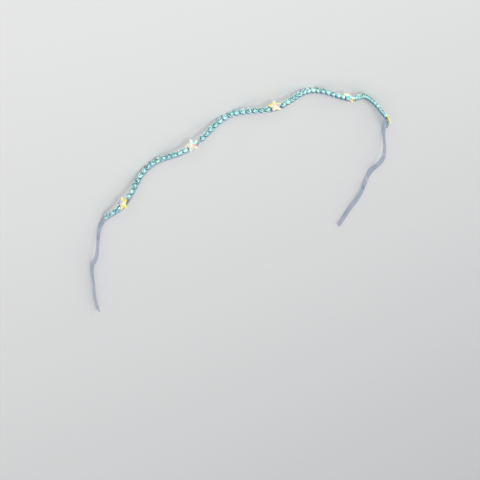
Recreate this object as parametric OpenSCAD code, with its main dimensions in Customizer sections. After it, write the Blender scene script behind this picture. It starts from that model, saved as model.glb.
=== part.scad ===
// Crystal headband: a narrow springy strip bent to an arch and set in shallow waves,
// with rows of small round crystals in joined cups along its outer face and five faceted stars.
// It lies on its back edge: +X to the left as worn, +Y to the crown, +Z up to the worn front.

/* [Arch] */
// Radius of the half circle, to the middle of the strip
arch_r = 74; // [66:0.5:80]
// Radius on which each plain leg turns in below the half circle
leg_r = 300; // [200:10:600]
// Length of each plain leg, along the strip
leg_len = 62; // [52:1:70]

/* [Strip] */
// Width of the strip, worn front to back
strip_w = 2.4; // [2.3:0.1:3.0]
// Thickness of the strip
strip_t = 0.6; // [0.5:0.1:1.2]
// Size of the eased corners of the strip
strip_ease = 0.22; // [0.15:0.01:0.24]

/* [Wave] */
// Distance round the arch from one star to the next
wave_len = 38.4; // [37:0.1:40]
// Height of the wave to each side of its middle line
wave_amp = 2.25; // [1.8:0.05:2.4]

/* [Crystals] */
// Outer width of one crystal cup
cup_d = 2.4; // [2.35:0.05:2.45]
// Height of a cup above the strip
cup_h = 1.0; // [0.8:0.05:1.1]
// Thickness of a cup's floor
cup_floor = 0.4; // [0.35:0.05:0.5]
// Width of a crystal
gem_d = 2.1; // [1.9:0.05:2.1]
// Height of a crystal's cut top above its cup
gem_crown = 0.5; // [0.3:0.05:0.7]
// Width of the flat on top of a crystal
gem_table = 1.2; // [0.9:0.05:1.3]

/* [Stars] */
// Centre to arm tip of a star
star_r = 2.88; // [2.5:0.02:2.9]
// Width of an arm's blunt tip
star_tip = 0.5; // [0.3:0.05:0.7]
// Centre to the notch between two arms
star_notch = 1.75; // [1.4:0.05:1.85]
// Height of the star's thin edge above the strip
star_edge = 1.14; // [1.14:0.02:1.4]
// Thickness of that edge
edge_t = 0.28; // [0.2:0.02:0.4]
// Height of the star's peak above the strip
star_h = 2.3; // [2.1:0.1:2.8]

/* [Hidden] */
$fn = 32;

// The glue line under a cup or star, and the play of a crystal in its cup
glue = 0.03;
gem_play = 0.03;

// Each star: its wave top counted from the middle of the arch, its turn in degrees from
// one arm to the front, and how far it was glued past the wave top and forward of the strip's middle
STAR_TOP = 0;
STAR_TURN = 1;
STAR_PAST = 2;
STAR_FORWARD = 3;
stars = [[-2, 13, 0.4, 0.1], [-1, 28, 0.96, 0], [0, 25, -0.3, -0.15],
         [1, 11, -0.3, 0.28], [2, 20, -0.3, 0]];

// Each row of crystals: the wave top it starts from, the direction it runs in, the distance to
// its first crystal in crystal steps, and its number of crystals
ROW_TOP = 0;
ROW_WAY = 1;
ROW_FIRST = 2;
ROW_COUNT = 3;
rows = [[-2, -1, 1.15, 5], [-2, 1, 1.81, 14], [-1, 1, 2.32, 13],
        [0, 1, 1.40, 14], [1, 1, 1.35, 14], [2, 1, 1.45, 5]];

// The wave is a little longer than the arch under it. The place round the arch after a length
// along the wave is a close formula for a shallow sine.
steepest = 2 * PI * wave_amp / wave_len;
stretch = 1 + pow(steepest, 2) / 4;
lag = pow(steepest, 2) * wave_len / (16 * PI);
steps_per_wave = 15.72;
step = wave_len * stretch / steps_per_wave;
function round_arch(along) = (along + lag * sin(720 * along / (wave_len * stretch))) / stretch;

// The arch seen from its front: a half circle, then two legs on a wide radius
quarter = arch_r * PI / 2;
half_len = quarter + leg_len;
function leg_turn(s) = max(0, abs(s) - quarter) / leg_r * 180 / PI;
function side(s) = s < 0 ? -1 : 1;
function turn(s) = side(s) * (min(abs(s), quarter) / quarter * 90 + leg_turn(s));
function arch_x(s) = side(s) * (arch_r * sin(min(abs(s), quarter) / quarter * 90)
                                - leg_r * (1 - cos(leg_turn(s))));
function arch_y(s) = arch_r * cos(min(abs(s), quarter) / quarter * 90) - leg_r * sin(leg_turn(s));

// The part stands on the middle of its own box
star_over = stars[2][STAR_PAST];
y_high = (arch_r + strip_t / 2 + glue + star_h) * cos(turn(star_over));
y_low = arch_y(half_len);
shift_y = -(y_high + y_low) / 2;

// The wave keeps its full height under the crystals and dies out down the plain legs, with
// every low point on the floor
full_to = 2.5 * wave_len;
function fade(s) = abs(s) <= full_to ? 1
    : (1 + cos(180 * (abs(s) - full_to) / (half_len - full_to))) / 2;
function mid_z(s) = strip_w / 2 + wave_amp * fade(s) * (1 + cos(360 * s / wave_len));
function slope(s) = atan((mid_z(s + 0.01) - mid_z(s - 0.01)) / 0.02);

// A point near the strip: out from its middle, across its width and round the arch
function along_arch(s) = [cos(turn(s)), -sin(turn(s)), 0];
function out(s) = [sin(turn(s)), cos(turn(s)), 0];
function across(s) = [0, 0, cos(slope(s))] - sin(slope(s)) * along_arch(s);
function middle(s) = [arch_x(s), arch_y(s) + shift_y, mid_z(s)];

// The strip's section, as [out, across] shares of its half thickness and half width
ease_t = 1 - 2 * strip_ease / strip_t;
ease_w = 1 - 2 * strip_ease / strip_w;
section = [[1, -ease_w], [1, ease_w], [ease_t, 1], [-ease_t, 1],
           [-1, ease_w], [-1, -ease_w], [-ease_t, -1], [ease_t, -1]];

// Rings every step or so, and closer ones that round off each tip
ring_gap = 2.4;
tip_round = strip_w / 2;
body_half = half_len - tip_round;
body_rings = ceil(2 * body_half / ring_gap);
tip_angles = [15, 35, 55, 72, 85];
tip_thinnest = 0.55;
tip_out = [for (a = tip_angles) body_half + tip_round * sin(a)];
ring_at = concat([for (k = [len(tip_out) - 1 : -1 : 0]) -tip_out[k]],
                 [for (k = [0 : body_rings]) -body_half + 2 * body_half * k / body_rings],
                 tip_out);
function tip_width(s) = sqrt(1 - pow(max(0, abs(s) - body_half) / tip_round, 2));
function tip_thick(s) = tip_thinnest + (1 - tip_thinnest) * tip_width(s);

module band() {
    points = [for (s = ring_at, p = section)
        middle(s) + out(s) * p[0] * tip_thick(s) * strip_t / 2
                  + across(s) * p[1] * tip_width(s) * strip_w / 2];
    n = len(section);
    last = len(ring_at) - 1;
    sides = [for (k = [0 : last - 1], j = [0 : n - 1])
        let (a = k * n + j, b = k * n + (j + 1) % n)
        each [[a, a + n, b + n], [a, b + n, b]]];
    ends = [for (j = [1 : n - 2])
        each [[0, j, j + 1], [last * n, last * n + j + 1, last * n + j]]];
    color([0.73, 0.75, 0.80]) polyhedron(points, concat(sides, ends), convexity = 6);
}

// Stands its children on the strip's outer face: their +Z points out of the arch, their +Y runs
// to the worn front, and their +X runs back round the arch
module on_strip(s) {
    translate(middle(s) + out(s) * (strip_t / 2 + glue)) rotate([-90, 180, -turn(s)]) children();
}

function gem_place(row, k) =
    round_arch(row[ROW_TOP] * wave_len * stretch + row[ROW_WAY] * (row[ROW_FIRST] + k) * step);

// One row of cups, open at the top and joined by short links
module cups(row) {
    link_w = 0.9;
    link_h = cup_floor - 0.05;
    last = row[ROW_COUNT] - 1;
    color([0.42, 0.74, 0.73]) difference() {
        union() {
            for (k = [0 : last]) on_strip(gem_place(row, k)) cylinder(d = cup_d, h = cup_h);
            for (k = [0 : last - 1]) {
                between = (gem_place(row, k) + gem_place(row, k + 1)) / 2;
                on_strip(between) rotate([0, 0, -slope(between)])
                    translate([-step / 2, -link_w / 2, 0]) cube([step, link_w, link_h]);
            }
        }
        for (k = [0 : last]) on_strip(gem_place(row, k))
            translate([0, 0, cup_floor]) cylinder(d = gem_d + 2 * gem_play, h = cup_h);
    }
}

// One row of round crystals, each standing on the floor of its cup
module crystals(row) {
    color([0.66, 0.93, 0.91]) for (k = [0 : row[ROW_COUNT] - 1]) on_strip(gem_place(row, k))
        rotate_extrude() polygon([[0, cup_floor], [gem_d / 2, cup_floor], [gem_d / 2, cup_h],
                                  [gem_table / 2, cup_h + gem_crown], [0, cup_h + gem_crown]]);
}

// A star: a tapered back glued to the strip, a thin edge, and flats from that edge up to the peak
module star(which) {
    // Each level of the star as its height and its share of the full outline
    levels = [[0, 0.42], [0.62, 0.56], [star_edge, 1], [star_edge + edge_t, 1]];
    // The outline goes round by arms: the two corners of a blunt tip, then a notch
    arms = 5;
    function corner(x, y, a) = [x * cos(a) + y * sin(a), y * cos(a) - x * sin(a)];
    outline = [for (arm = [0 : arms - 1]) let (a = 360 * arm / arms)
        each [corner(-star_tip / 2, star_r, a), corner(star_tip / 2, star_r, a),
              corner(0, star_notch, a + 180 / arms)]];
    n = len(outline);
    ring_points = [for (l = levels, p = outline) [p[0] * l[1], p[1] * l[1], l[0]]];
    top = len(levels) * n;
    points = concat(ring_points, [[0, 0, star_h], [0, 0, 0]]);
    sides = [for (k = [0 : len(levels) - 2], j = [0 : n - 1])
        let (a = k * n + j, b = k * n + (j + 1) % n)
        each [[a, b, b + n], [a, b + n, a + n]]];
    flats = [for (j = [0 : n - 1]) [top - n + j, top - n + (j + 1) % n, top]];
    back = [for (j = [0 : n - 1]) [(j + 1) % n, j, top + 1]];
    color([0.98, 0.93, 0.74]) on_strip(which[STAR_TOP] * wave_len + which[STAR_PAST])
        translate([0, which[STAR_FORWARD], 0]) rotate([0, 0, which[STAR_TURN]])
            polyhedron(points, concat(sides, flats, back), convexity = 4);
}

band();
cups(rows[0]);  // cups_1
cups(rows[1]);  // cups_2
cups(rows[2]);  // cups_3
cups(rows[3]);  // cups_4
cups(rows[4]);  // cups_5
cups(rows[5]);  // cups_6
crystals(rows[0]);  // crystals_1
crystals(rows[1]);  // crystals_2
crystals(rows[2]);  // crystals_3
crystals(rows[3]);  // crystals_4
crystals(rows[4]);  // crystals_5
crystals(rows[5]);  // crystals_6
star(stars[0]);  // star_1
star(stars[1]);  // star_2
star(stars[2]);  // star_3
star(stars[3]);  // star_4
star(stars[4]);  // star_5
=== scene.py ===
import math
import random

import bmesh
import bpy
from mathutils import Matrix, Vector


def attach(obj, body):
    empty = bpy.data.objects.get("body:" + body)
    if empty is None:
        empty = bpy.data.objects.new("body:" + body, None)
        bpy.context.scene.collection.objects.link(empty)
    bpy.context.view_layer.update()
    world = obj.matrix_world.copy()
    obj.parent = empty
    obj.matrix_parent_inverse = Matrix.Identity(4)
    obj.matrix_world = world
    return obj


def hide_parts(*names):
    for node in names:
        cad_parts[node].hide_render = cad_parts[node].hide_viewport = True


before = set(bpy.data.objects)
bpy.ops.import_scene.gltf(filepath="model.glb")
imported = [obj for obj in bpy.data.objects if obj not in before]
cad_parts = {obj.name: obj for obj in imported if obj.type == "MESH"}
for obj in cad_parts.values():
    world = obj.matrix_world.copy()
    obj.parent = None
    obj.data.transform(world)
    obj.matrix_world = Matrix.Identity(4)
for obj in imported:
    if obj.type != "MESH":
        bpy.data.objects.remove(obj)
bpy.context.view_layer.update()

# The strip: one length of flat spring steel wire, bent to an arch and set in shallow waves. Its edges
# are rolled round, both ends are filed round, and it is plated in a pale lilac satin silver.
# Everything else is glued to its outer face.
strip_w, strip_t, rolled = 0.0024, 0.0006, 0.00022
tip_round = strip_w / 2 * 0.97
arch_r, leg_r, leg_len = 0.074, 0.300, 0.062
wave_len, wave_amp = 0.0384, 0.00225
quarter = arch_r * math.pi / 2
half_len = quarter + leg_len
full_waves_to = 2.5 * wave_len
# The origin lies half way between the tips and the peak of the star at the crown
crown_peak = 0.07663
shift_y = (leg_r * math.sin(leg_len / leg_r) - crown_peak) / 2


def turned(s):
    """The angle between the crown and the place s round the arch."""
    return math.copysign(min(abs(s), quarter) / arch_r + max(0.0, abs(s) - quarter) / leg_r, s)


def middle(s):
    """The middle of the strip at the place s round the arch, which is 0 at the crown."""
    round_arch, down_leg = min(abs(s), quarter) / arch_r, max(0.0, abs(s) - quarter) / leg_r
    fade = 1.0
    if abs(s) > full_waves_to:
        fade = (1 + math.cos(math.pi * (abs(s) - full_waves_to) / (half_len - full_waves_to))) / 2
    return Vector((
        math.copysign(arch_r * math.sin(round_arch) - leg_r * (1 - math.cos(down_leg)), s),
        arch_r * math.cos(round_arch) - leg_r * math.sin(down_leg) + shift_y,
        strip_w / 2 + wave_amp * fade * (1 + math.cos(2 * math.pi * s / wave_len))))


def pick(kind, test):
    """Selects the vertices, edges or faces of the piece in edit mode that pass the test."""
    cage = bmesh.from_edit_mesh(bpy.context.object.data)
    bpy.ops.mesh.select_mode(type=kind)
    bpy.ops.mesh.select_all(action="DESELECT")
    for part in {"VERT": cage.verts, "EDGE": cage.edges, "FACE": cage.faces}[kind]:
        if test(part):
            part.select_set(True)
    bmesh.update_edit_mesh(bpy.context.object.data)


def reach(edge, axis):
    """How far an edge runs along an axis."""
    return abs(getattr(edge.verts[0].co, axis) - getattr(edge.verts[1].co, axis))


# The line that the straight bar is bent along
guide = bpy.data.curves.new("strip_guide", "CURVE")
guide.dimensions, guide.twist_mode = "3D", "Z_UP"
guide_steps = 720
bent_line = guide.splines.new("POLY")
bent_line.points.add(guide_steps)
stops = [middle(half_len * (2 * k / guide_steps - 1)) for k in range(guide_steps + 1)]
for point, stop in zip(bent_line.points, stops):
    point.co = (*stop, 1)
strip_len = sum((b - a).length for a, b in zip(stops, stops[1:]))
guide_object = bpy.data.objects.new("strip_guide", guide)
bpy.context.collection.objects.link(guide_object)


def at_tip_corner(edge):
    """True for the edges through the thickness at the four corners of the flat bar."""
    from_end = min(edge.verts[0].co.x, strip_len - edge.verts[0].co.x)
    return from_end < rolled and reach(edge, "y") > strip_t / 2


def at_rim(edge):
    """True for the edges where a flat of the bar meets a side or a rounded end."""
    facing = [abs(face.normal.y) for face in edge.link_faces]
    return len(facing) == 2 and abs(facing[0] - facing[1]) > 0.5


bpy.ops.object.select_all(action="DESELECT")
bpy.ops.mesh.primitive_cube_add(size=1)
strip = bpy.context.object
strip.name = "strip"
bpy.ops.object.mode_set(mode="EDIT")
bpy.ops.transform.resize(value=(strip_len, strip_t, strip_w))
bpy.ops.transform.translate(value=(strip_len / 2, 0, 0))
# Two rounds of fifteen cuts leave stretches of about 1.4 mm, short enough to bend
for _ in range(2):
    pick("EDGE", lambda e: reach(e, "x") > strip_w)
    bpy.ops.mesh.subdivide(number_cuts=15)
pick("EDGE", at_tip_corner)
bpy.ops.mesh.bevel(offset=tip_round, segments=8, affect="EDGES")
pick("EDGE", at_rim)
bpy.ops.mesh.bevel(offset=rolled, segments=3, affect="EDGES")
bpy.ops.object.mode_set(mode="OBJECT")
# Each point keeps its place on the straight bar, which the drawn lines of the finish follow
lie = strip.data.attributes.new("lie", "FLOAT_VECTOR", "POINT")
lie.data.foreach_set("vector", [c for v in strip.data.vertices for c in v.co])
bend = strip.modifiers.new("bend", "CURVE")
bend.object, bend.deform_axis = guide_object, "POS_X"
bpy.ops.object.modifier_apply(modifier="bend")
bpy.data.objects.remove(guide_object)
bpy.ops.object.shade_smooth_by_angle(angle=math.radians(35))


def new_material(name, values):
    """A material with the given values on its shader's own sockets, and that shader."""
    material = bpy.data.materials.new(name)
    material.use_nodes = True
    shader = material.node_tree.nodes["Principled BSDF"]
    for socket, value in values.items():
        shader.inputs[socket].default_value = value
    return material, shader


def feed(material, output, node, socket):
    """Joins an output to a node's socket."""
    material.node_tree.links.new(output, node.inputs[socket])


def add_node(material, kind, inputs, **options):
    """A node with its options set, and each input set to a value or fed by another node's output."""
    node = material.node_tree.nodes.new(kind)
    for option, value in options.items():
        setattr(node, option, value)
    for socket, value in inputs.items():
        if isinstance(value, bpy.types.NodeSocket):
            feed(material, value, node, socket)
        else:
            node.inputs[socket].default_value = value
    return node


def read(material, attribute, output="Fac"):
    """What the mesh holds under the attribute's name at each point or face."""
    return add_node(material, "ShaderNodeAttribute", {}, attribute_name=attribute).outputs[output]


def place_on_piece(material):
    """The place of each point in the piece, in metres."""
    return add_node(material, "ShaderNodeTexCoord", {}).outputs["Object"]


def add_noise(material, place, scale, detail, roughness=0.5):
    """A cloudy pattern over the given places."""
    noise = add_node(material, "ShaderNodeTexNoise", {
        "Vector": place, "Scale": scale, "Detail": detail, "Roughness": roughness})
    return noise.outputs["Fac"]


def add_range(material, value, start, end, low=0.0, high=1.0):
    """The value brought from the range between start and end to the range between low and high."""
    spread = add_node(material, "ShaderNodeMapRange", {
        "Value": value, "From Min": start, "From Max": end, "To Min": low, "To Max": high})
    return spread.outputs["Result"]


def add_ramp(material, value, stops):
    """A colour ramp through the (value, colour) stops."""
    ramp = add_node(material, "ShaderNodeValToRGB", {"Fac": value})
    while len(ramp.color_ramp.elements) < len(stops):
        ramp.color_ramp.elements.new(0.5)
    for element, (position, colour) in zip(ramp.color_ramp.elements, stops):
        element.position, element.color = position, (*colour, 1)
    return ramp.outputs["Color"]


def mix_colours(material, share, first, second, blend_type="MIX"):
    """Two colours blended by the share. A Mix node has its colours in inputs 6 and 7 and output 2."""
    mix = add_node(material, "ShaderNodeMix", {"Factor": share, 6: first, 7: second},
                   data_type="RGBA", blend_type=blend_type)
    return mix.outputs[2]


def add_bump(material, shader, height, strength, depth):
    """Roughens the shader's surface by the height."""
    bump = add_node(material, "ShaderNodeBump", {"Height": height, "Strength": strength, "Distance": depth})
    feed(material, bump.outputs["Normal"], shader, "Normal")


# How many times the drawn lines change in a metre, along the bar and across it
lines_along, lines_across = 260, 9000
satin, shader = new_material("lilac satin silver", {"Metallic": 1.0})
drawn = add_node(satin, "ShaderNodeMapping", {
    "Vector": read(satin, "lie", "Vector"), "Scale": (lines_along, lines_across, lines_across)})
drawn_lines = add_noise(satin, drawn.outputs["Vector"], 1.0, 4.0, 0.65)
clouds = add_noise(satin, place_on_piece(satin), 160.0, 3.0, 0.6)
plate = add_ramp(satin, clouds, [
    (0.30, (0.50, 0.57, 0.65)), (0.46, (0.60, 0.71, 0.80)), (0.60, (0.69, 0.69, 0.78)),
    (0.75, (0.76, 0.86, 0.93))])
streaks = add_ramp(satin, drawn_lines, [(0.35, (0.86, 0.86, 0.88)), (0.65, (1.0, 1.0, 1.0))])
feed(satin, mix_colours(satin, 1.0, plate, streaks, "MULTIPLY"), shader, "Base Color")
feed(satin, add_range(satin, drawn_lines, 0.3, 0.7, 0.62, 0.50), shader, "Roughness")
add_bump(satin, shader, drawn_lines, 0.25, 0.00002)
strip.data.materials.append(satin)
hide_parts("band")
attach(strip, "root")

# The cup chain: small round brass cups in single rows, each stamped with four prongs that are folded
# over its stone, and joined by short flat links. It is silver plated, glued down and coated in gloss aqua
# enamel. The silver shows on the cup sides that face the front and the left, and the teal on the other
# sides is partly enamel and partly painted reflection of the neighbouring stones and painted shade.
glue = 0.00003
cup_d, cup_h, cup_floor, wall = 0.0024, 0.0010, 0.0004, 0.00012
cup_softened = 0.00003
prong_lift, prong_fold = 0.00011, 0.00008
link_w, link_h, link_softened = 0.0009, 0.00035, 0.00008
# The line of the wave is longer than the arch under it by the factor stretch, and strays from that
# even rate by up to lag
steepest = 2 * math.pi * wave_amp / wave_len
stretch = 1 + steepest ** 2 / 4
lag = steepest ** 2 * wave_len / (16 * math.pi)
stones_per_wave = 15.72
stone_step = wave_len * stretch / stones_per_wave
# Each end of a link reaches through most of its cup's wall
link_len = stone_step - cup_d + 1.4 * wall
# Each row: the wave top it starts from, its direction, the steps to its first stone, and its stones
rows = [(-2, -1, 1.15, 5), (-2, 1, 1.81, 14), (-1, 1, 2.32, 13), (0, 1, 1.40, 14), (1, 1, 1.35, 14),
        (2, 1, 1.45, 5)]


def stone_places(row):
    """The places round the arch of one row's stones, which are evenly spaced along the wave."""
    top, way, first, count = row
    along = [top * wave_len * stretch + way * (first + k) * stone_step for k in range(count)]
    return [(a + lag * math.sin(4 * math.pi * a / (wave_len * stretch))) / stretch for a in along]


def slope(s):
    """How steeply the strip climbs to the front at the place s round the arch."""
    nearby = 0.00001
    climb = middle(s + nearby).z - middle(s - nearby).z
    return math.atan(climb / (2 * nearby))


def seat(s):
    """Stands a piece on the strip's outer face: its z out of the arch, its y to the worn front."""
    away = Vector((math.sin(turned(s)), math.cos(turned(s)), 0))
    back_round = Vector((-away.y, away.x, 0))
    spot = middle(s) + away * (strip_t / 2 + glue)
    turn = Matrix((back_round, (0, 0, 1), away)).transposed()
    return Matrix.Translation(spot) @ turn.to_4x4()


def set_in_place(model, matrix):
    """A copy of the model with its own mesh, put where the matrix says."""
    placed = model.copy()
    placed.data = model.data.copy()
    bpy.context.collection.objects.link(placed)
    placed.matrix_world = matrix
    return placed


def make_piece(parts, name):
    """Joins the placed parts into one piece that lies at the origin."""
    bpy.ops.object.select_all(action="DESELECT")
    for part in parts:
        part.select_set(True)
    bpy.context.view_layer.objects.active = parts[0]
    if len(parts) > 1:
        bpy.ops.object.join()
    bpy.ops.object.transform_apply(location=True, rotation=True, scale=True)
    parts[0].name = name
    return parts[0]


def keep_heights(model):
    """Keeps each point's height as a share of a cup's, which the enamel's painted shade and highlight
    follow.
    """
    rise = model.data.attributes.new("rise", "FLOAT", "POINT")
    rise.data.foreach_set("value", [v.co.z / cup_h for v in model.data.vertices])


def at_prong(face):
    """True for the four faces of the rim that stand half way between the row's line and its sides."""
    centre = face.calc_center_median()
    quarter_turn = math.degrees(math.atan2(centre.y, centre.x)) % 90
    return centre.z > cup_h * 0.99 and face.normal.z > 0.9 and abs(quarter_turn - 45) < 5


bpy.ops.object.select_all(action="DESELECT")
bpy.ops.mesh.primitive_cylinder_add(vertices=20, radius=cup_d / 2, depth=cup_h)
cup = bpy.context.object
bpy.ops.object.mode_set(mode="EDIT")
bpy.ops.transform.translate(value=(0, 0, cup_h / 2))
pick("FACE", lambda f: f.normal.z > 0.9)
bpy.ops.mesh.inset(thickness=wall)
bpy.ops.mesh.extrude_region_move(TRANSFORM_OT_translate={"value": (0, 0, cup_floor - cup_h)})
# Each prong rises from the rim and then folds in over the stone
pick("FACE", at_prong)
for lift, lean in ((prong_lift, 0.975), (prong_fold, 0.88)):
    bpy.ops.mesh.extrude_region_move(TRANSFORM_OT_translate={"value": (0, 0, lift)})
    bpy.ops.transform.resize(value=(lean, lean, 1), center_override=(0, 0, 0))
bpy.ops.object.mode_set(mode="OBJECT")
soften = cup.modifiers.new("soften", "BEVEL")
soften.width, soften.segments = cup_softened, 1
soften.limit_method, soften.angle_limit = "ANGLE", 0.6
bpy.ops.object.modifier_apply(modifier="soften")
bpy.ops.object.shade_smooth_by_angle(angle=math.radians(50))
keep_heights(cup)
# Silver shows towards this side of each cup; teal elsewhere is partly painted reflection and painted shade
unshaded_facing = Vector((-0.80, 0.60, 0))
unshaded_side = cup.data.attributes.new("unshaded_side", "FLOAT", "POINT")
unshaded_side.data.foreach_set("value", [v.co.dot(unshaded_facing) / (cup_d / 2) for v in cup.data.vertices])

bpy.ops.object.select_all(action="DESELECT")
bpy.ops.mesh.primitive_cube_add(size=1)
link = bpy.context.object
bpy.ops.object.mode_set(mode="EDIT")
bpy.ops.transform.resize(value=(link_len, link_w, link_h))
bpy.ops.transform.translate(value=(0, 0, link_h / 2))
pick("EDGE", lambda e: reach(e, "x") > link_len / 2 and e.verts[0].co.z > link_h / 2)
bpy.ops.mesh.bevel(offset=link_softened, segments=2, affect="EDGES")
bpy.ops.object.mode_set(mode="OBJECT")
keep_heights(link)


def times_plus(material, value, factor, more):
    """The value times the factor, and more added to it."""
    result = add_node(material, "ShaderNodeMath", {0: value, 1: factor, 2: more}, operation="MULTIPLY_ADD")
    return result.outputs[0]


# The enamel is painted dark at the foot of a cup as painted shade and pale at its rim and prongs as a
# painted highlight, and it pools unevenly
enamel, shader = new_material("aqua enamel", {
    "Roughness": 0.22, "Coat Weight": 0.6, "Coat Roughness": 0.08})
pooling = add_noise(enamel, place_on_piece(enamel), 900.0, 3.0)
level = times_plus(enamel, times_plus(enamel, pooling, 0.5, -0.25), 1.0, read(enamel, "rise"))
teal = add_ramp(enamel, level, [
    (0.12, (0.035, 0.130, 0.135)), (0.42, (0.105, 0.325, 0.318)), (0.72, (0.28, 0.62, 0.60)),
    (1.0, (0.69, 0.96, 0.91))])
# Towards the front and left the teal's painted reflection and painted shade give way to silver, unevenly
patchy = times_plus(enamel, pooling, 0.6, read(enamel, "unshaded_side"))
silver_share = add_range(enamel, patchy, 0.70, 1.10)
silver = add_ramp(enamel, pooling, [
    (0.35, (0.45, 0.80, 0.82)), (0.50, (0.56, 0.83, 0.86)), (0.65, (0.67, 0.80, 0.86))])
feed(enamel, mix_colours(enamel, silver_share, teal, silver), shader, "Base Color")
feed(enamel, silver_share, shader, "Metallic")
add_bump(enamel, shader, pooling, 0.2, 0.00004)
for model in (cup, link):
    model.data.materials.append(enamel)
for number, row in enumerate(rows, start=1):
    places = stone_places(row)
    parts = [set_in_place(cup, seat(s) @ Matrix.Rotation(-slope(s), 4, "Z")) for s in places]
    for a, b in zip(places, places[1:]):
        between = (a + b) / 2
        parts.append(set_in_place(link, seat(between) @ Matrix.Rotation(-slope(between), 4, "Z")))
    cup_row = make_piece(parts, f"cup_row_{number}")
    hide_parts(f"cups_{number}")
    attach(cup_row, "root")
bpy.data.objects.remove(cup)
bpy.data.objects.remove(link)

# The crystals: round brilliant-cut glass stones of about 2 mm, backed with foil, that stand on the
# floors of their cups. Their pale, middle and dark aqua facets are painted light: painted reflections
# and glints of the foil through the cut, and painted shade where the next stone shades them.
gem_r, table_r, gem_top = 0.00105, 0.0006, 0.0015
girdle_low, girdle_high = 0.00092, 0.00102
foot_r, foot_z = gem_r * 0.35, cup_floor + 0.00002
table_rim = table_r * 0.38
# The ring between table and girdle stands a little out of the plain cone, and so cuts it into facets
ring_r = 0.00084
ring_z = gem_top - ((ring_r * math.cos(math.pi / 8) - table_r) / (gem_r - table_r)
                    * (gem_top - girdle_high))

bpy.ops.object.select_all(action="DESELECT")
bpy.ops.mesh.primitive_circle_add(vertices=16, radius=gem_r)
gem = bpy.context.object
bpy.ops.object.mode_set(mode="EDIT")
bpy.ops.transform.translate(value=(0, 0, girdle_high))
bpy.ops.mesh.primitive_circle_add(vertices=16, radius=gem_r, location=(0, 0, girdle_low))
bpy.ops.mesh.primitive_circle_add(vertices=8, radius=foot_r, location=(0, 0, foot_z))
bpy.ops.mesh.primitive_circle_add(vertices=8, radius=table_r, location=(0, 0, gem_top))
bpy.ops.mesh.primitive_circle_add(vertices=8, radius=ring_r, location=(0, 0, ring_z),
                                  rotation=(0, 0, math.pi / 8))
bpy.ops.mesh.select_all(action="SELECT")
bpy.ops.mesh.convex_hull(join_triangles=False)
bpy.ops.mesh.select_all(action="SELECT")
bpy.ops.mesh.dissolve_limited(angle_limit=math.radians(2))
pick("FACE", lambda f: f.normal.z > 0.99)
bpy.ops.mesh.inset(thickness=table_rim)
bpy.ops.mesh.poke()
bpy.ops.object.mode_set(mode="OBJECT")


def turn_hue(material, hue, colour):
    """The colour with its hue turned, where 0.5 leaves it as it is."""
    turned_hue = add_node(material, "ShaderNodeHueSaturation", {"Hue": hue, "Color": colour})
    return turned_hue.outputs["Color"]


crystal, shader = new_material("aqua crystal", {
    "Roughness": 0.06, "IOR": 1.6, "Coat Weight": 1.0, "Coat Roughness": 0.02})
aqua = add_ramp(crystal, read(crystal, "sparkle"), [
    (0.0, (0.015, 0.095, 0.105)), (0.25, (0.070, 0.300, 0.310)), (0.50, (0.17, 0.61, 0.57)),
    (0.75, (0.43, 0.93, 0.87)), (1.0, (0.92, 1.0, 0.98))])
feed(crystal, turn_hue(crystal, read(crystal, "cast"), aqua), shader, "Base Color")
gem.data.materials.append(crystal)

# Each facet's share on the ramp is painted light: the foil's painted reflections, glints and shade.
lights_in_the_cut = random.Random(65)
table_shares = (0.0, 0.10, 0.26, 0.48, 0.85, 1.0)
# The third value here paints one side of each stone brighter, a painted highlight on the lit side.
dimmest, brightened, one_side_lit, scattered = 0.07, 0.76, 0.10, 0.38
back_share = 0.45


def cut_with_light(stone, spin):
    """Paints each facet's light: bright across the row, dim where the next stone shades it, brighter on the
    lit side.
    """
    pale = lights_in_the_cut.uniform(-0.22, 0.22)
    lean = lights_in_the_cut.uniform(-0.5, 0.5)
    blue = lights_in_the_cut.gauss(0.5, 0.018)
    shares, casts = [], []
    for face in stone.data.polygons:
        x, y, _ = face.center
        across = math.sin(math.atan2(y, x) + spin - lean)
        if face.normal.z > 0.99:
            share = lights_in_the_cut.choice(table_shares) + pale
        elif face.normal.z > 0.1:
            share = dimmest + brightened * abs(across) - one_side_lit * across + pale
            share += lights_in_the_cut.uniform(-scattered, scattered)
        else:
            share = back_share
        shares.append(min(1.0, max(0.0, share)))
        casts.append(blue + lights_in_the_cut.uniform(-0.015, 0.015))
    for name, values in (("sparkle", shares), ("cast", casts)):
        held = stone.data.attributes.new(name, "FLOAT", "FACE")
        held.data.foreach_set("value", values)


for number, row in enumerate(rows, start=1):
    stones = []
    for s in stone_places(row):
        spin = lights_in_the_cut.uniform(0, math.pi / 4)
        stone = set_in_place(gem, seat(s) @ Matrix.Rotation(spin - slope(s), 4, "Z"))
        cut_with_light(stone, spin)
        stones.append(stone)
    crystal_row = make_piece(stones, f"crystal_row_{number}")
    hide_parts(f"crystals_{number}")
    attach(crystal_row, "root")
bpy.data.objects.remove(gem)

# The stars: cut glass star stones with blunt arms, a thin edge and a tapered, foiled back, glued over
# the strip where each wave is highest. Every facet is painted its own tint: painted reflections of the
# glass's rainbow coat, and painted shade in the darker tints.
star_r, star_notch, tip_cut = 0.00288, 0.00175, 0.00070
sharp_r = star_r + 0.6 * tip_cut
star_edge, edge_t, star_h = 0.00114, 0.00028, 0.0023
bevel_top, shoulder = star_edge + edge_t + 0.00010, 0.00195
peak_rise = 0.00002
# Above and below the widest outline, each level is a height and its share of that outline
front_levels = ((star_edge + edge_t, 1.0), (bevel_top, 0.955), (shoulder, 0.52),
                (star_h - peak_rise, 0.12))
back_levels = ((0.00062, 0.56), (0.0, 0.42))
# In degrees: from one arm to the next, and how far from an arm's ridge its tip's facet reaches
arm_turn, tip_reach = 72, 9

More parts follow.
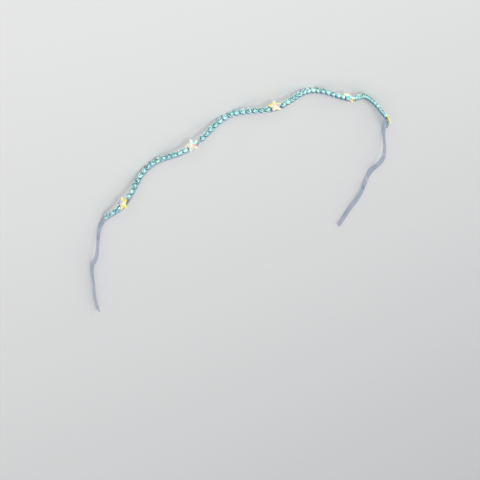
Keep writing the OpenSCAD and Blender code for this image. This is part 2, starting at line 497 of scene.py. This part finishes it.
bpy.ops.object.select_all(action="DESELECT")
bpy.ops.mesh.primitive_circle_add(vertices=10, radius=sharp_r, fill_type="NGON")
star = bpy.context.object
bpy.ops.object.mode_set(mode="EDIT")
bpy.ops.transform.translate(value=(0, 0, star_edge))
# Every second corner is drawn in to a notch, and the others are cut off to blunt tips
pick("VERT", lambda v: round(math.degrees(math.atan2(v.co.x, v.co.y))) % arm_turn == arm_turn / 2)
bpy.ops.transform.resize(value=(star_notch / sharp_r, star_notch / sharp_r, 1), center_override=(0, 0, 0))
pick("VERT", lambda v: math.hypot(v.co.x, v.co.y) > star_r)
bpy.ops.mesh.bevel(offset=tip_cut, segments=2, affect="VERTICES")


def draw_out(levels):
    """Extrudes the picked outline through the levels."""
    height, share = star_edge, 1.0
    for next_height, next_share in levels:
        bpy.ops.mesh.extrude_region_move(TRANSFORM_OT_translate={"value": (0, 0, next_height - height)})
        grow = next_share / share
        bpy.ops.transform.resize(value=(grow, grow, 1), center_override=(0, 0, 0))
        height, share = next_height, next_share


pick("FACE", lambda f: True)
draw_out(front_levels)
bpy.ops.mesh.poke(offset=peak_rise)
# The one face left with all the outline's corners is the back
pick("FACE", lambda f: len(f.verts) > 8)
draw_out(back_levels)
bpy.ops.mesh.select_all(action="SELECT")
bpy.ops.mesh.normals_make_consistent(inside=False)
bpy.ops.object.mode_set(mode="OBJECT")

# Each tint is the colour a facet showed in its light: painted reflections, and in olive and tan painted
# shade.
tints = {
    "white": (0.93, 0.95, 0.90), "cream": (0.95, 0.87, 0.62), "lemon": (0.94, 0.87, 0.34),
    "yellow": (0.95, 0.82, 0.06), "olive": (0.58, 0.51, 0.09), "lime": (0.70, 0.80, 0.16),
    "mint": (0.45, 0.82, 0.66), "sky": (0.10, 0.66, 0.88), "cyan": (0.16, 0.82, 0.86),
    "lavender": (0.48, 0.50, 0.84), "violet": (0.36, 0.27, 0.92), "haze": (0.50, 0.61, 0.95),
    "rose": (0.84, 0.55, 0.53), "salmon": (0.66, 0.30, 0.26), "peach": (0.90, 0.52, 0.20),
    "tan": (0.56, 0.43, 0.24), "shell": (0.90, 0.72, 0.60), "pale": (0.78, 0.88, 0.76),
    "foil": (0.40, 0.41, 0.44)}
# Each star: its wave top, its turn from one arm to the front, how far it sits past the top and
# forward, and for its arms in turn the tints of the edge, the tip, the two outer facets and the two
# inner facets
stars = [
    (-2, 13, 0.0004, 0.00010, (
        "lemon yellow lemon yellow cream lemon", "lemon lemon cream olive lemon cream",
        "violet violet violet violet shell cream", "lemon lemon lemon lemon cream haze",
        "yellow yellow lemon cream haze cream")),
    (-1, 28, 0.00096, 0.0, (
        "cream cream salmon mint rose shell", "cream pale rose shell white pale",
        "peach cream shell cream pale white", "cream white cream white white white",
        "peach cream sky cyan mint pale")),
    (0, 25, -0.0003, -0.00015, (
        "tan cream lavender cream peach cream", "tan shell cream shell cream shell",
        "yellow yellow shell yellow shell cream", "lemon white lemon lemon cream shell",
        "lemon cream lemon lavender cream peach")),
    (1, 11, -0.0003, 0.00028, (
        "lemon yellow cream tan white cream", "mint cyan cyan sky cyan mint",
        "lemon cream white lemon pale cream", "lemon cream lemon cream cream cream",
        "cream cream cream white cream white")),
    (2, 20, -0.0003, 0.0, (
        "lemon cream lemon lime lime mint", "lime lemon lemon yellow lime lemon",
        "cream white cream white lemon cream", "lemon lime mint pale lemon lime",
        "cream white cream lemon lime lemon"))]

rainbow, shader = new_material("rainbow glass", {
    "Roughness": 0.10, "IOR": 1.6, "Coat Weight": 0.6, "Coat Roughness": 0.02})
drift = add_noise(rainbow, place_on_piece(rainbow), 1400.0, 2.0)
drifting_hue = add_range(rainbow, drift, 0.3, 0.7, 0.48, 0.52)
tint_of_facet = read(rainbow, "tint", "Color")
feed(rainbow, turn_hue(rainbow, drifting_hue, tint_of_facet), shader, "Base Color")
star.data.materials.append(rainbow)


def tint_facets(stone, arms):
    """Gives every facet of a star its tint, arm by arm."""
    colours = []
    for face in stone.data.polygons:
        x, y, z = face.center
        round_star = math.degrees(math.atan2(x, y)) % 360
        arm = round(round_star / arm_turn) % 5
        past_ridge = (round_star - arm_turn * arm + 180) % 360 - 180
        edge, tip, outer_before, outer_after, inner_before, inner_after = arms[arm].split()
        if z < star_edge:
            name = "foil"
        elif z < bevel_top:
            name = edge
        elif abs(past_ridge) < tip_reach and z < shoulder:
            name = tip
        elif z < shoulder:
            name = outer_before if past_ridge < 0 else outer_after
        else:
            name = inner_before if past_ridge < 0 else inner_after
        colours.extend((*tints[name], 1.0))
    tint = stone.data.attributes.new("tint", "FLOAT_COLOR", "FACE")
    tint.data.foreach_set("color", colours)


for number, (top, turn, past, forward, arms) in enumerate(stars, start=1):
    glued = seat(top * wave_len + past) @ Matrix.Translation((0, forward, 0))
    stone = set_in_place(star, glued @ Matrix.Rotation(math.radians(turn), 4, "Z"))
    tint_facets(stone, arms)
    stone = make_piece([stone], f"star_stone_{number}")
    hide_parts(f"star_{number}")
    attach(stone, "root")
bpy.data.objects.remove(star)

# The table and the light: the headband lies on plain pale paper in the even light of a studio, with two
# large soft lamps and a small one for the glints. The camera looks from the photograph's side.
bpy.ops.object.select_all(action="DESELECT")
bpy.ops.mesh.primitive_plane_add(size=6)
floor = bpy.context.object
floor.name = "floor"
paper, shader = new_material("pale paper", {"Base Color": (0.78, 0.78, 0.77, 1), "Roughness": 0.7})
floor.data.materials.append(paper)

room_light, room_strength = (0.96, 0.97, 1.0, 1), 0.68
world = bpy.data.worlds.new("studio")
bpy.context.scene.world = world
world.use_nodes = True
world.node_tree.nodes["Background"].inputs["Color"].default_value = room_light
world.node_tree.nodes["Background"].inputs["Strength"].default_value = room_strength


def softbox(name, place, size, power, colour):
    """A square area light at that place, facing the headband."""
    lamp = bpy.data.lights.new(name, "AREA")
    lamp.size, lamp.energy, lamp.color = size, power, colour
    box = bpy.data.objects.new(name, lamp)
    box.matrix_world = (Matrix.Translation(place)
                        @ Vector(place).to_track_quat("Z", "Y").to_matrix().to_4x4())
    box.visible_camera = False
    bpy.context.collection.objects.link(box)


softbox("key", (-0.05, 0.80, 0.80), 0.40, 3.6, (1.0, 0.98, 0.95))
softbox("fill", (0.25, 0.90, 0.30), 0.50, 1.6, (0.93, 0.97, 1.0))
softbox("sparkle", (-0.45, 0.95, 0.35), 0.12, 1.2, (1.0, 1.0, 1.0))

camera = bpy.data.objects.new("camera", bpy.data.cameras.new("camera"))
camera.data.lens = 90.140
aim, distance = Vector((-0.0152969, -0.0000589, 0.0248816)), 0.531313
towards = Vector((-0.34986, 0.84227, 0.41010)).normalized()
swing, tilt, roll = -0.708115, -0.999030, 0.288439
camera.matrix_world = (Matrix.Translation(aim + distance * towards) @ Matrix.Rotation(swing, 4, "Y")
                       @ Matrix.Rotation(tilt, 4, "X") @ Matrix.Rotation(roll, 4, "Z"))
bpy.context.collection.objects.link(camera)
bpy.context.scene.camera = camera
bpy.context.scene.view_settings.view_transform = "Standard"
